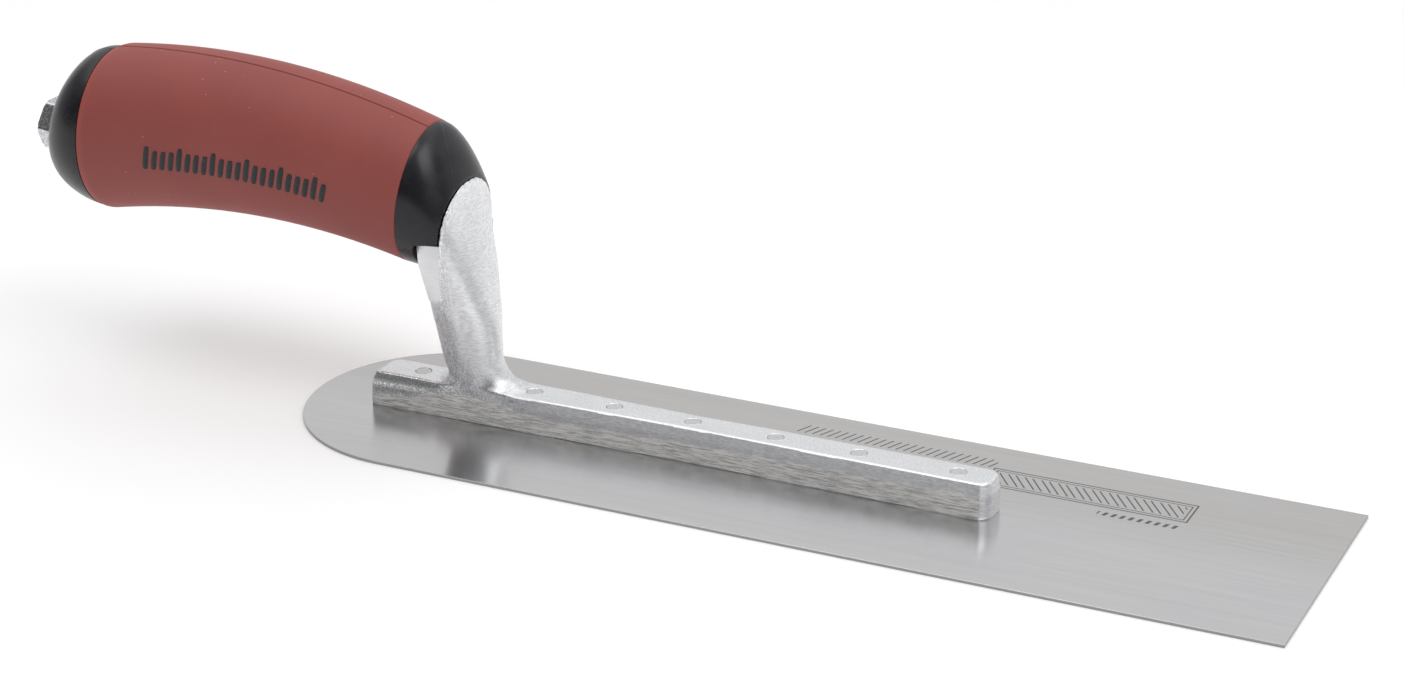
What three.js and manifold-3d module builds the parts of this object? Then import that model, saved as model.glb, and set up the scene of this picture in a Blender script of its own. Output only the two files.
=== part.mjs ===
// Round-ended finishing trowel: a riveted blade, a cast mounting and a bolted two-material handle.
// Millimetres, +Z up. The origin is the centre of the blade's sole, +X runs to the square front
// end, and the handle rises over the rounded rear end.

import * as THREE from "three";
import { mergeVertices } from "three/addons/utils/BufferGeometryUtils.js";
import Module from "manifold-3d";

const wasm = await Module();
wasm.setup();

// ---- Driving dimensions --------------------------------------------------------------------

const BLADE_LENGTH = 273;
const BLADE_WIDTH = 76.2;
const BLADE_THICKNESS = 0.8;

const RIVET_X = [-105.8, -73, -50, -27.9, -5, 17.5, 43.7];
const RIVET_RADIUS = 2.1;
const RIVET_HEAD_RADIUS = 2.75;
const RIVET_HEAD_DEPTH = 0.6;
const FIT_GAP = 0.05;

// Mounting casting: a long bar on the blade with a shank that rises to the handle.
const BAR_REAR_X = -118.3;
const BAR_FRONT_X = 54;
const BAR_TOP_Z = 10;
const BAR_HALF_WIDTH = { rear: 6.3, middle: 5.1, front: 5.8 };
const BAR_MIDDLE_X = -28;
const BAR_NEAR_REAR_CORNER = 0.8;
const BAR_CORNER_RADIUS = 4.4;
const BAR_EDGE_ROUND = 1.7;

// The joint is the flat face where the handle meets the shank, square to the handle bolt.
const JOINT_X = -93.1;
const JOINT_Z = 47.6;
const BOLT_SLOPE = THREE.MathUtils.degToRad(7);
const JOINT_CENTRE_RISE = 5.3;
const JOINT_HALF_HEIGHT = 12.4;
const JOINT_HALF_WIDTH = 13.8;

// Shank, as level sections: its front, widest and rear stations along X, its half width and how
// square its sections are, each as [height, value] pairs and smooth in between.
const SHANK_FRONT = [
  [8, -72.5], [10, -75.2], [12.2, -79], [15.5, -82], [21, -82.6], [29, -83.1], [37, -84.8],
  [45, -86.4], [52, -88.2], [58, -89.8], [66, -90.6],
];
const SHANK_WIDEST = [[8, -90], [20, -91], [34, -93.3], [45, -93.4], [55, -92.2], [66, -90.9]];
const SHANK_REAR = [
  [8, -101], [10, -98.4], [12.2, -97.2], [16, -98.6], [22, -100.3], [28, -101.2], [34, -101.4],
  [45, -101], [65, -101],
];
const SHANK_HALF_WIDTH = [
  [8, 5.4], [11, 5.7], [15, 6.1], [20, 6.6], [27, 7.9], [34, 9.9], [40, 11.4], [47, 13],
  [52.9, 13.8],
];
const SHANK_SQUARENESS = [[8, 2.4], [20, 2], [40, 2.2], [52, 1.5], [66, 1.3]];
const SHANK_LEVELS = { body: 18, crown: 7 };
const SHANK_BASE_Z = 8;
const SHANK_TOP_Z = 65.2;

// Milled key at the back of the shank, which fits a notch in the handle's collar and stops the
// handle from turning. Below the collar its back edge leans to the rear.
const KEY_HALF_WIDTH = 10;
const KEY_FOOT = { x: -97.9, z: 34.4 };
const KEY_HEEL = { x: -100.7, z: 44.2 };
const KEY_TOP_Z = { front: 49.9, back: 49.3 };
const KEY_FRONT_X = -91;
const POCKET_FLOOR_Z = 34.6;
const POCKET_CORNER_RADIUS = 2.2;

// Notch in the handle's collar, in the handle's turned frame: its back wall is square to the
// bolt and its roof rises towards the joint.
const NOTCH_BACK_X = -7.5;
const NOTCH_ROOF = { back: 2.1, front: 4.3 };
const NOTCH_GAP = 0.3;

// Handle, measured along the bolt from the joint (x = 0), with -x towards the rear.
const CAP_FACE_X = -119.8;
const REAR_SEAM_X = -106.1;
const FRONT_SEAM_X = -11.5;
const COLLAR_FACE_X = -0.3;
const CAP_FACE_RADIUS = 10;
const HANDLE_CROWN_X = -42.5;
const HANDLE_CROWN_RISE = 13.6;
const HANDLE_BOW = 0.0024;
const HANDLE_HALF_HEIGHT = { rear: 22.65, front: 19.05 };
const SECTION_LEAN = {
  rear: THREE.MathUtils.degToRad(-4.5),
  front: THREE.MathUtils.degToRad(1),
};
const GRIP_STEPS = 14;
const DOME_STEPS = 8;
const HANDLE_WIDTH_RATIO = 0.872;
const COLLAR_LIP = 0.5;
const GRIP_THICKNESS = 2.2;
const GRIP_END_ROUND = { depth: 0.9, length: 3.5 };
const CAP_DOME = { power: 1.9, root: 1.7 };
const COLLAR_DOME = { power: 1.65, root: 1.05 };
const GRIP_GAP = 0.15;
const GRIP_EDGE_BREAK = 0.2;
const GRIP_END_STEPS = 4;

// Handle bolt and washer.
const BOLT_RADIUS = 3.97;
const BOLT_END_X = 4;
const BOLT_BORE_RADIUS = 4.15;
const HEX_ACROSS_FLATS = 13;
const HEX_HEIGHT = 5.4;
const HEX_CHAMFER = { depth: 0.35, width: 0.5 };
const WASHER_RADIUS = 9.5;
const WASHER_THICKNESS = 1.2;

// Cutters reach this far past the material they remove.
const OVERCUT = 40;

const RING_POINTS = 48;
const ROUND_SEGMENTS = 32;
const MERGE_TOLERANCE = 1e-4;

// ---- Solid helpers -------------------------------------------------------------------------

// A closed skin through rings of equal point count. Each end is closed by a fan to its centre,
// unless the rings themselves form a loop.
function loft(rings, loop = false) {
  const count = rings[0].length;
  const positions = rings.flat().flatMap((p) => [p.x, p.y, p.z]);
  const index = [];
  const bands = loop ? rings.length : rings.length - 1;
  for (let band = 0; band < bands; band++) {
    const lower = band * count;
    const upper = ((band + 1) % rings.length) * count;
    for (let i = 0; i < count; i++) {
      const next = (i + 1) % count;
      index.push(lower + i, lower + next, upper + next);
      index.push(lower + i, upper + next, upper + i);
    }
  }
  if (!loop) {
    addFan(positions, index, rings[0], 0, false);
    addFan(positions, index, rings.at(-1), (rings.length - 1) * count, true);
  }
  const geometry = new THREE.BufferGeometry();
  geometry.setAttribute("position", new THREE.Float32BufferAttribute(positions, 3));
  geometry.setIndex(index);
  return facingOut(geometry);
}

function addFan(positions, index, ring, first, forward) {
  const centre = new THREE.Vector3();
  ring.forEach((p) => centre.addScaledVector(p, 1 / ring.length));
  const hub = positions.length / 3;
  positions.push(centre.x, centre.y, centre.z);
  for (let i = 0; i < ring.length; i++) {
    const a = first + i;
    const b = first + ((i + 1) % ring.length);
    index.push(hub, forward ? a : b, forward ? b : a);
  }
}

// Turns every triangle over if the closed skin faces in.
function facingOut(geometry) {
  const position = geometry.getAttribute("position");
  const corners = [new THREE.Vector3(), new THREE.Vector3(), new THREE.Vector3()];
  const index = Array.from(geometry.getIndex().array);
  let volume = 0;
  for (let i = 0; i < index.length; i += 3) {
    corners.forEach((corner, k) => corner.fromBufferAttribute(position, index[i + k]));
    volume += corners[0].dot(corners[1].clone().cross(corners[2]));
  }
  if (volume < 0) {
    for (let i = 0; i < index.length; i += 3) {
      [index[i + 1], index[i + 2]] = [index[i + 2], index[i + 1]];
    }
    geometry.setIndex(index);
  }
  return geometry;
}

function toSolid(geometry) {
  const bare = geometry.clone();
  bare.deleteAttribute("normal");
  bare.deleteAttribute("uv");
  const merged = mergeVertices(bare, MERGE_TOLERANCE);
  return new wasm.Manifold(
    new wasm.Mesh({
      numProp: 3,
      vertProperties: new Float32Array(merged.getAttribute("position").array),
      triVerts: new Uint32Array(merged.getIndex().array),
    }),
  );
}

function toGeometry(solid) {
  const mesh = solid.getMesh();
  const geometry = new THREE.BufferGeometry();
  geometry.setAttribute("position", new THREE.Float32BufferAttribute(mesh.vertProperties, 3));
  geometry.setIndex(Array.from(mesh.triVerts));
  geometry.computeVertexNormals();
  return geometry;
}

// A round bar along X.
function barAlongX(radius, fromX, toX) {
  const geometry = new THREE.CylinderGeometry(radius, radius, toX - fromX, ROUND_SEGMENTS);
  return geometry.rotateZ(Math.PI / 2).translate((fromX + toX) / 2, 0, 0);
}

// An upright turned shape, from radius and height pairs that start and end on the axis.
function turned(profile) {
  const points = profile.map(([radius, z]) => new THREE.Vector2(radius, z));
  return new THREE.LatheGeometry(points, ROUND_SEGMENTS).rotateX(Math.PI / 2);
}

function ellipseRing(centre, halfU, halfV, place) {
  return Array.from({ length: RING_POINTS }, (_, i) => {
    const angle = (2 * Math.PI * i) / RING_POINTS;
    return place(centre, halfU * Math.cos(angle), halfV * Math.sin(angle));
  });
}

function material(color, roughness, metalness) {
  return new THREE.MeshStandardMaterial({ color, roughness, metalness });
}

function piece(name, geometry, look) {
  const mesh = new THREE.Mesh(geometry, look);
  mesh.name = name;
  return mesh;
}

// ---- Blade and rivets ----------------------------------------------------------------------

function rivetShape(grow) {
  const foot = grow > 0 ? -1 : 0;
  const radius = RIVET_RADIUS + grow;
  const headRadius = RIVET_HEAD_RADIUS + grow;
  const top = BAR_TOP_Z + (grow > 0 ? 1 : 0);
  return turned([
    [0, foot],
    [headRadius, foot],
    [headRadius, 0],
    [radius, RIVET_HEAD_DEPTH],
    [radius, top],
    [0, top],
  ]);
}

function rivetHoles() {
  const holes = RIVET_X.map((x) => toSolid(rivetShape(FIT_GAP).translate(x, 0, 0)));
  return holes.reduce((all, hole) => all.add(hole));
}

function makeBlade(holes) {
  const radius = BLADE_WIDTH / 2;
  const front = BLADE_LENGTH / 2;
  const outline = new THREE.Shape();
  outline.moveTo(front, -radius);
  outline.lineTo(front, radius);
  outline.lineTo(-front + radius, radius);
  outline.absarc(-front + radius, 0, radius, Math.PI / 2, (3 * Math.PI) / 2);
  outline.closePath();
  const sheet = new THREE.ExtrudeGeometry(outline, {
    depth: BLADE_THICKNESS,
    bevelEnabled: false,
    curveSegments: ROUND_SEGMENTS,
  });
  return piece(
    "blade",
    toGeometry(toSolid(sheet).subtract(holes)),
    material(0xb9babb, 0.32, 1),
  );
}

function makeRivets() {
  const look = material(0xb4b6b8, 0.45, 0.9);
  return RIVET_X.map((x, i) => {
    const rivet = piece(`rivet_${i + 1}`, rivetShape(0), look.clone());
    rivet.position.x = x;
    return rivet;
  });
}

// ---- Mounting casting ----------------------------------------------------------------------

// Half width of the bar: a smooth waist between the rear and the front.
function barHalfWidth(x) {
  const { rear, middle, front } = BAR_HALF_WIDTH;
  const behind = x < BAR_MIDDLE_X;
  const end = behind ? rear : front;
  const endX = behind ? BAR_REAR_X : BAR_FRONT_X;
  const way = (x - BAR_MIDDLE_X) / (endX - BAR_MIDDLE_X);
  return middle + (end - middle) * Math.sin((way * Math.PI) / 2);
}

function barOutline() {
  const shape = new THREE.Shape();
  const rear = BAR_HALF_WIDTH.rear;
  const front = BAR_HALF_WIDTH.front;
  const near = BAR_NEAR_REAR_CORNER;
  const round = BAR_CORNER_RADIUS;
  const sideSteps = 8;
  const span = BAR_FRONT_X - BAR_REAR_X;
  shape.absarc(BAR_REAR_X + near, -rear + near, near, Math.PI, 1.5 * Math.PI);
  for (let i = 1; i < sideSteps; i++) {
    const x = BAR_REAR_X + (span * i) / sideSteps;
    shape.lineTo(x, -barHalfWidth(x));
  }
  shape.absarc(BAR_FRONT_X - round, -front + round, round, 1.5 * Math.PI, 2 * Math.PI);
  shape.absarc(BAR_FRONT_X - round, front - round, round, 0, 0.5 * Math.PI);
  for (let i = sideSteps - 1; i > 0; i--) {
    const x = BAR_REAR_X + (span * i) / sideSteps;
    shape.lineTo(x, barHalfWidth(x));
  }
  shape.absarc(BAR_REAR_X + round, rear - round, round, 0.5 * Math.PI, Math.PI);
  return shape.getPoints(8);
}

// The outline moved inwards along its own normals.
function inset(points, distance) {
  return points.map((point, i) => {
    const before = points[(i + points.length - 1) % points.length];
    const after = points[(i + 1) % points.length];
    const along = new THREE.Vector2().subVectors(after, before).normalize();
    return new THREE.Vector2(point.x - along.y * distance, point.y + along.x * distance);
  });
}

function barGeometry() {
  const outline = barOutline().filter((p, i, all) => i === 0 || p.distanceTo(all[i - 1]) > 0.05);
  const level = (distance, z) =>
    inset(outline, distance).map((p) => new THREE.Vector3(p.x, p.y, z));
  const roundSteps = 4;
  const rings = [level(0, BLADE_THICKNESS)];
  for (let i = 0; i <= roundSteps; i++) {
    const angle = (i / roundSteps) * (Math.PI / 2);
    const drop = BAR_EDGE_ROUND * (1 - Math.sin(angle));
    rings.push(level(BAR_EDGE_ROUND * (1 - Math.cos(angle)), BAR_TOP_Z - drop));
  }
  return loft(rings);
}

// A smooth value between the given [height, value] pairs.
function profileAt(pairs, z) {
  const last = pairs.length - 2;
  const found = pairs.findIndex(([height]) => height > z) - 1;
  const i = found < 0 ? last : Math.min(found, last);
  const slope = (k) => {
    const low = pairs[Math.max(k - 1, 0)];
    const high = pairs[Math.min(k + 1, pairs.length - 1)];
    return (high[1] - low[1]) / (high[0] - low[0]);
  };
  const [z0, v0] = pairs[i];
  const [z1, v1] = pairs[i + 1];
  const span = z1 - z0;
  const t = THREE.MathUtils.clamp((z - z0) / span, 0, 1);
  const bend = t * t * (3 - 2 * t);
  const startTangent = slope(i) * span * t * (1 - t) ** 2;
  const endTangent = slope(i + 1) * span * t * t * (t - 1);
  return v0 + (v1 - v0) * bend + startTangent + endTangent;
}

// Half width of the shank: tapering below the middle of the joint, and an ellipse above it.
function shankHalfWidth(z) {
  const middle = JOINT_Z + JOINT_CENTRE_RISE;
  if (z <= middle) {
    return profileAt(SHANK_HALF_WIDTH, z);
  }
  return JOINT_HALF_WIDTH * Math.sqrt(1 - ((z - middle) / JOINT_HALF_HEIGHT) ** 2);
}

// A level section whose front and rear halves are squarish ellipses that meet at the widest
// station.
function shankRing(z) {
  const widest = profileAt(SHANK_WIDEST, z);
  const front = profileAt(SHANK_FRONT, z) - widest;
  const rear = widest - profileAt(SHANK_REAR, z);
  const halfWidth = shankHalfWidth(z);
  const power = 2 / profileAt(SHANK_SQUARENESS, z);
  return Array.from({ length: RING_POINTS }, (_, i) => {
    const angle = (2 * Math.PI * i) / RING_POINTS;
    const c = Math.cos(angle);
    const s = Math.sin(angle);
    const reach = c > 0 ? front : rear;
    const x = widest + Math.sign(c) * reach * Math.abs(c) ** power;
    return new THREE.Vector3(x, Math.sign(s) * halfWidth * Math.abs(s) ** power, z);
  });
}

function shankGeometry() {
  const middle = JOINT_Z + JOINT_CENTRE_RISE;
  const { body, crown } = SHANK_LEVELS;
  const rings = [];
  for (let i = 0; i <= body; i++) {
    rings.push(shankRing(THREE.MathUtils.lerp(SHANK_BASE_Z, middle, i / body)));
  }
  for (let i = 1; i <= crown; i++) {
    const share = Math.sin((i / crown) * (Math.PI / 2));
    rings.push(shankRing(THREE.MathUtils.lerp(middle, SHANK_TOP_Z, share)));
  }
  return loft(rings);
}

// A prism across the tool, from an outline in X and Z.
function prismAcross(outline, halfWidth) {
  const shape = new THREE.Shape(outline.map(([x, z]) => new THREE.Vector2(x, z)));
  const prism = new THREE.ExtrudeGeometry(shape, { depth: 2 * halfWidth, bevelEnabled: false });
  return prism.rotateX(Math.PI / 2).translate(0, halfWidth, 0);
}

// Everything behind the joint plane and above the pocket floor, with the cutter's round corner.
function millingGeometry() {
  const floor = (POCKET_FLOOR_Z - JOINT_Z) / Math.cos(BOLT_SLOPE);
  const round = POCKET_CORNER_RADIUS;
  const steps = 5;
  const corner = Array.from({ length: steps + 1 }, (_, i) => {
    const angle = (i / steps) * (Math.PI / 2);
    return [-round + round * Math.sin(angle), floor + round - round * Math.cos(angle)];
  });
  const outline = [[-OVERCUT, floor], ...corner, [0, OVERCUT], [-OVERCUT, OVERCUT]];
  return prismAcross(outline, OVERCUT);
}

// The key's outline, ending against the notch's back wall and roof with a working gap.
function keyGeometry() {
  const reach = (NOTCH_BACK_X + NOTCH_GAP) / Math.cos(BOLT_SLOPE);
  const wallX = (z) => JOINT_X + reach + (z - JOINT_Z) * Math.tan(BOLT_SLOPE);
  const outline = [
    [KEY_FOOT.x, KEY_FOOT.z],
    [KEY_FRONT_X, KEY_FOOT.z],
    [KEY_FRONT_X, KEY_TOP_Z.front],
    [wallX(KEY_TOP_Z.back), KEY_TOP_Z.back],
    [Math.max(wallX(KEY_HEEL.z), KEY_HEEL.x), KEY_HEEL.z],
  ];
  return prismAcross(outline, KEY_HALF_WIDTH);
}

function makeMounting(holes, handleMatrix) {
  const turn = (geometry) => toSolid(geometry.applyMatrix4(handleMatrix));
  const solid = toSolid(barGeometry())
    .add(toSolid(shankGeometry()).subtract(turn(millingGeometry())))
    .add(toSolid(keyGeometry()))
    .subtract(turn(barAlongX(BOLT_RADIUS + FIT_GAP, -OVERCUT, BOLT_END_X + FIT_GAP)))
    .subtract(holes);
  return piece("mounting", toGeometry(solid), material(0xc9cacc, 0.5, 0.9));
}

// ---- Handle --------------------------------------------------------------------------------

function handleRise(x) {
  return HANDLE_CROWN_RISE - HANDLE_BOW * (x - HANDLE_CROWN_X) ** 2;
}

function handleHalfHeight(x) {
  const way = (x - REAR_SEAM_X) / (FRONT_SEAM_X - REAR_SEAM_X);
  return THREE.MathUtils.lerp(HANDLE_HALF_HEIGHT.rear, HANDLE_HALF_HEIGHT.front, way);
}

// An ellipse across the handle, leaning from upright by the given angle.
function handleRing(x, rise, halfHeight, halfWidth, lean = 0) {
  const place = (centre, u, v) =>
    new THREE.Vector3(centre + u * Math.sin(lean), v, rise + u * Math.cos(lean));
  return ellipseRing(x, halfHeight, halfWidth, place);
}

function sectionLean(x) {
  const way = (x - REAR_SEAM_X) / (FRONT_SEAM_X - REAR_SEAM_X);
  return THREE.MathUtils.lerp(SECTION_LEAN.rear, SECTION_LEAN.front, way);
}

function gripRing(x, inwards) {
  const halfHeight = handleHalfHeight(x);
  return handleRing(
    x,
    handleRise(x),
    halfHeight - inwards,
    halfHeight * HANDLE_WIDTH_RATIO - inwards,
    sectionLean(x),
  );
}

// Rings that swell from a small end ellipse to the handle's section at a seam.
function domeRings(end, seamX) {
  const full = handleHalfHeight(seamX) - end.seamInset;
  const fullWidth = handleHalfHeight(seamX) * HANDLE_WIDTH_RATIO - end.seamInset;
  return Array.from({ length: DOME_STEPS + 1 }, (_, i) => {
    const share = Math.cos((i / DOME_STEPS) * (Math.PI / 2));
    const swell = (1 - share ** end.dome.power) ** (1 / end.dome.root);
    return handleRing(
      THREE.MathUtils.lerp(seamX, end.x, share),
      THREE.MathUtils.lerp(end.rise, handleRise(seamX), swell),
      THREE.MathUtils.lerp(end.halfHeight, full, swell),
      THREE.MathUtils.lerp(end.halfWidth, fullWidth, swell),
      sectionLean(seamX) * (1 - share),
    );
  });
}

function gripStations() {
  return Array.from({ length: GRIP_STEPS + 1 }, (_, i) =>
    THREE.MathUtils.lerp(REAR_SEAM_X, FRONT_SEAM_X, i / GRIP_STEPS),
  );
}

function notchGeometry() {
  const slope = (NOTCH_ROOF.front - NOTCH_ROOF.back) / -NOTCH_BACK_X;
  const outline = [
    [NOTCH_BACK_X, NOTCH_ROOF.back],
    [NOTCH_BACK_X, -OVERCUT],
    [OVERCUT, -OVERCUT],
    [OVERCUT, NOTCH_ROOF.front + slope * OVERCUT],
  ];
  return prismAcross(outline, OVERCUT);
}

function makeCore() {
  const cap = domeRings(
    {
      x: CAP_FACE_X,
      rise: 0,
      halfHeight: CAP_FACE_RADIUS,
      halfWidth: CAP_FACE_RADIUS,
      dome: CAP_DOME,
      seamInset: GRIP_END_ROUND.depth,
    },
    REAR_SEAM_X,
  );
  const collar = domeRings(
    {
      x: COLLAR_FACE_X,
      rise: JOINT_CENTRE_RISE,
      halfHeight: JOINT_HALF_HEIGHT + COLLAR_LIP,
      halfWidth: JOINT_HALF_WIDTH + COLLAR_LIP,
      dome: COLLAR_DOME,
      seamInset: GRIP_GAP,
    },
    FRONT_SEAM_X,
  );
  const neck = gripStations().map((x) => gripRing(x, GRIP_THICKNESS));
  const body = toSolid(loft([...cap, ...neck, ...collar.reverse()]));
  const bore = toSolid(barAlongX(BOLT_BORE_RADIUS, CAP_FACE_X - OVERCUT, OVERCUT));
  return piece(
    "handle_core",
    toGeometry(body.subtract(bore).subtract(toSolid(notchGeometry()))),
    material(0x2b2b2d, 0.42, 0),
  );
}

function makeGrip() {
  const stations = gripStations();
  const first = REAR_SEAM_X + GRIP_GAP;
  const last = FRONT_SEAM_X - GRIP_GAP;
  const rearEdge = [];
  for (let i = 0; i <= GRIP_END_STEPS; i++) {
    const way = i / GRIP_END_STEPS;
    const x = first + GRIP_END_ROUND.length * way;
    rearEdge.push(gripRing(x, GRIP_END_ROUND.depth * (1 - way) ** 2));
  }
  const outer = [
    ...rearEdge,
    ...stations.slice(1, -1).map((x) => gripRing(x, 0)),
    gripRing(last - GRIP_EDGE_BREAK, 0),
    gripRing(last, GRIP_EDGE_BREAK),
  ];
  const inside = GRIP_THICKNESS - GRIP_GAP;
  const inner = [last, ...stations.slice(1, -1).reverse(), first].map((x) => gripRing(x, inside));
  return piece("grip", loft([...outer, ...inner], true), material(0x9c4a45, 0.72, 0));
}

function makeBolt() {
  const underHead = CAP_FACE_X - WASHER_THICKNESS - FIT_GAP;
  const cornerRadius = HEX_ACROSS_FLATS / 2 / Math.cos(Math.PI / 6);
  const hex = new THREE.CylinderGeometry(cornerRadius, cornerRadius, HEX_HEIGHT, 6);
  hex.rotateY(Math.PI / 6).rotateZ(Math.PI / 2).translate(underHead - HEX_HEIGHT / 2, 0, 0);
  const envelope = turned([
    [0, 0],
    [cornerRadius + FIT_GAP, 0],
    [cornerRadius + FIT_GAP, HEX_HEIGHT - HEX_CHAMFER.depth],
    [cornerRadius - HEX_CHAMFER.width, HEX_HEIGHT],
    [0, HEX_HEIGHT],
  ]);
  envelope.rotateY(-Math.PI / 2).translate(underHead, 0, 0);
  const head = toSolid(hex).intersect(toSolid(envelope));
  const stem = toSolid(barAlongX(BOLT_RADIUS, underHead - HEX_HEIGHT / 2, BOLT_END_X));
  return piece("handle_bolt", toGeometry(head.add(stem)), material(0xc6c8cb, 0.25, 1));
}

function makeWasher() {
  const start = CAP_FACE_X - WASHER_THICKNESS;
  const disc = toSolid(barAlongX(WASHER_RADIUS, start, CAP_FACE_X - FIT_GAP));
  const hole = toSolid(barAlongX(BOLT_BORE_RADIUS, start - OVERCUT, start + OVERCUT));
  return piece("washer", toGeometry(disc.subtract(hole)), material(0xbfc1c4, 0.3, 1));
}

// ---- Assembly ------------------------------------------------------------------------------

const handle = new THREE.Group();
handle.position.set(JOINT_X, 0, JOINT_Z);
handle.rotation.y = BOLT_SLOPE;
handle.updateMatrix();
handle.add(makeCore(), makeGrip(), makeBolt(), makeWasher());

const holes = rivetHoles();
const trowel = new THREE.Group();
trowel.add(makeBlade(holes), makeMounting(holes, handle.matrix), ...makeRivets(), handle);

export default trowel;
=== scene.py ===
"""Looks of a round-ended finishing trowel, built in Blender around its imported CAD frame.

Sizes are in millimetres in the row's frame (+Z up from the blade's sole, +X to the square front
end) or in the handle's frame, whose x axis is the handle bolt and whose origin is the joint.
"""

import math

import bmesh
import bpy
import numpy as np
from mathutils import Matrix, Vector


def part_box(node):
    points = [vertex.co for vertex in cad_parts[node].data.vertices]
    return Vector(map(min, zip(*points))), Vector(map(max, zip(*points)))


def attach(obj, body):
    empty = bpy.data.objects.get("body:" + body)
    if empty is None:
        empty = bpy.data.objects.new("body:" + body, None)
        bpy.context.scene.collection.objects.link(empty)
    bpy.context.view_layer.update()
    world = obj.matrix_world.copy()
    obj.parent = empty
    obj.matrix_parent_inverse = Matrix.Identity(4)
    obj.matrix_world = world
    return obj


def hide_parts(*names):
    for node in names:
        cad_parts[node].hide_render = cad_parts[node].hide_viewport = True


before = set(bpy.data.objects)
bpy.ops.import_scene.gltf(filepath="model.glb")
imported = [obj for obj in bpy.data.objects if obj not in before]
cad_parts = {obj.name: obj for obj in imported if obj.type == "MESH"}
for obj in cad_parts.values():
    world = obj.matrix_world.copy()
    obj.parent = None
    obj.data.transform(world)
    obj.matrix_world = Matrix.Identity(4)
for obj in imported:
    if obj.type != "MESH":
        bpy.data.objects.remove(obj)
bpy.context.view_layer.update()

MM = 0.001
BODY = "root"

# ---- Driving dimensions, in millimetres ----

BLADE_EDGE = 0.06

# Rivets: their countersunk heads are in the blade, their other ends are flush with the bar's top.
RIVET_RADIUS = 2.1
RIVET_HEAD = {"radius": 2.75, "depth": 0.6}
RIVET_GAP = 0.05
RIVET_CHAMFER = {"radius": 2.3, "from": 0.12, "past": 0.02}

# The etched mark on the blade: centre x and y, half width and half depth of each rectangle.
ETCHED_STRIP = (71, 20, 26.5, 5.2)
ETCHED_ROW = (17, 27.6, 27, 2.4)
ETCHED_SMALL_ROW = (86.5, 11, 10.5, 1.0)
ETCHED_FRAME_GAP = 1.1

# Casting: the bar. Its side is sanded up to SANDED_TOP, (x, height) pairs, and is cast above it.
BAR_HALF_WIDTH = {"rear": 6.3, "middle": 5.1, "front": 5.8}
BAR_MIDDLE_X = -28.0
BAR_CORNER = {"rear_near": 0.9, "rear_far": 4.4, "tip": 5.3}
BAR_EDGE = {"across": 1.25, "down": 4.1}
REAR_SHOULDER = {"across": 0.7, "from": -95, "over": 10}
SANDED_TIP = {"depth": 0.68, "from": 30, "over": 20, "edge": 0.25}
SANDED_TOP = [
    (-118, 4.2), (-108, 4.6), (-100, 6.8), (-88, 8), (-78, 6.6), (-70, 5.6), (-50, 5.2),
    (-20, 5.9), (20, 6.3), (54, 6.9),
]
CAST_SKIN_SET_BACK = 0.12

# Casting: the shank's level sections, as (height, value) pairs, smooth in between.
SHANK_FRONT = [
    (6, -72.5), (8, -74.6), (10, -76.9), (12.2, -79.9), (15.5, -82.2), (21, -82.7), (29, -83.1),
    (37, -84.8), (45, -86.4), (52, -88.2), (58, -89.8), (66, -90.6),
]
SHANK_WIDEST = [(6, -90), (20, -91), (34, -93.3), (45, -93.4), (55, -92.2), (66, -90.9)]
SHANK_REAR = [
    (6, -102), (8, -101), (10, -98.4), (12.2, -97.2), (16, -98.6), (22, -100.3), (28, -101.2),
    (34, -101.4), (45, -101), (65, -101),
]
SHANK_HALF_WIDTH = [
    (6, 6.12), (8, 6.12), (11, 6.1), (15, 6.2), (20, 6.7), (27, 8), (34, 9.9), (40, 11.4),
    (47, 13), (52.9, 13.8),
]
SHANK_SQUARENESS = [(8, 2.5), (13, 2.3), (20, 2), (40, 2.2), (52, 1.6), (66, 1.5)]
SHANK_BASE = {"section": 6, "root": 4}
SHANK_TOP = 65.2
FILLET = {"flank": 0.4, "ends": 3.2}
GROOVE = {"depth": 0.22, "half_width": 0.9}
STEP_DEPTH = 0.1
WAVE_DEPTH = 0.012

# The joint, the milled pocket behind it and the key.
BOLT_REACH = 4.0
JOINT_RISE = 5.3
JOINT_HALF_HEIGHT = 12.4
JOINT_HALF_WIDTH = 13.8
POCKET_FLOOR = 34.6
POCKET_CORNER = 2.2
POCKET_OVERCUT = 0.03
POCKET_ROUND = {"set_back": 0.35, "radius": 1.3}
KEY_HALF_WIDTH = {"foot": 10.0, "top": 12.2}
KEY_FOOT = (-97.9, 34.4)
KEY_HEEL = (-100.0, 44.2)
KEY_TOP = {"back": 50.1, "front": 51.0}
KEY_FRONT = 2.5
KEY_BEVEL = 0.3
NOTCH_BACK = -7.5
NOTCH_ROOF = (2.1, 4.3)
NOTCH_GAP = 0.3

# Handle, in its own frame. A pair holds the values at the rear seam and at the front seam.
CAP_FACE_RADIUS = 10.0
REAR_SEAM = -106.1
FRONT_SEAM = -11.5
COLLAR_FACE = -0.3
CROWN_X = -42.5
CROWN_RISE = 13.6
BOW = 0.0024
HALF_HEIGHT = (22.65, 19.05)
SECTION_LEAN = (math.radians(-4.5), math.radians(1))
WIDTH_RATIO = 0.872
COLLAR_LIP = 0.5
CAP_DOME = {"power": 1.9, "root": 1.7}
COLLAR_DOME = {"power": 1.65, "root": 1.05}
MOULD_RIDGE = {"height": 0.1, "half_width": 0.2}
MOULD_RADIUS = 17
GRIP_THICKNESS = 2.2
GRIP_GAP = 0.12
GRIP_SINK = 0.05
GRIP_REAR_ROUND = {"depth": 0.9, "length": 3.5, "lip": 0.08}
GRIP_FRONT_ROUND = {"depth": 0.35, "length": 0.6}
GRIP_RADIUS = 20
PARTING_GROOVE = {"depth": 0.3, "half_width": 0.2}
PARTING_FLASH = {"height": 0.06, "half_width": 0.3, "offset": 0.5}

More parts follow.
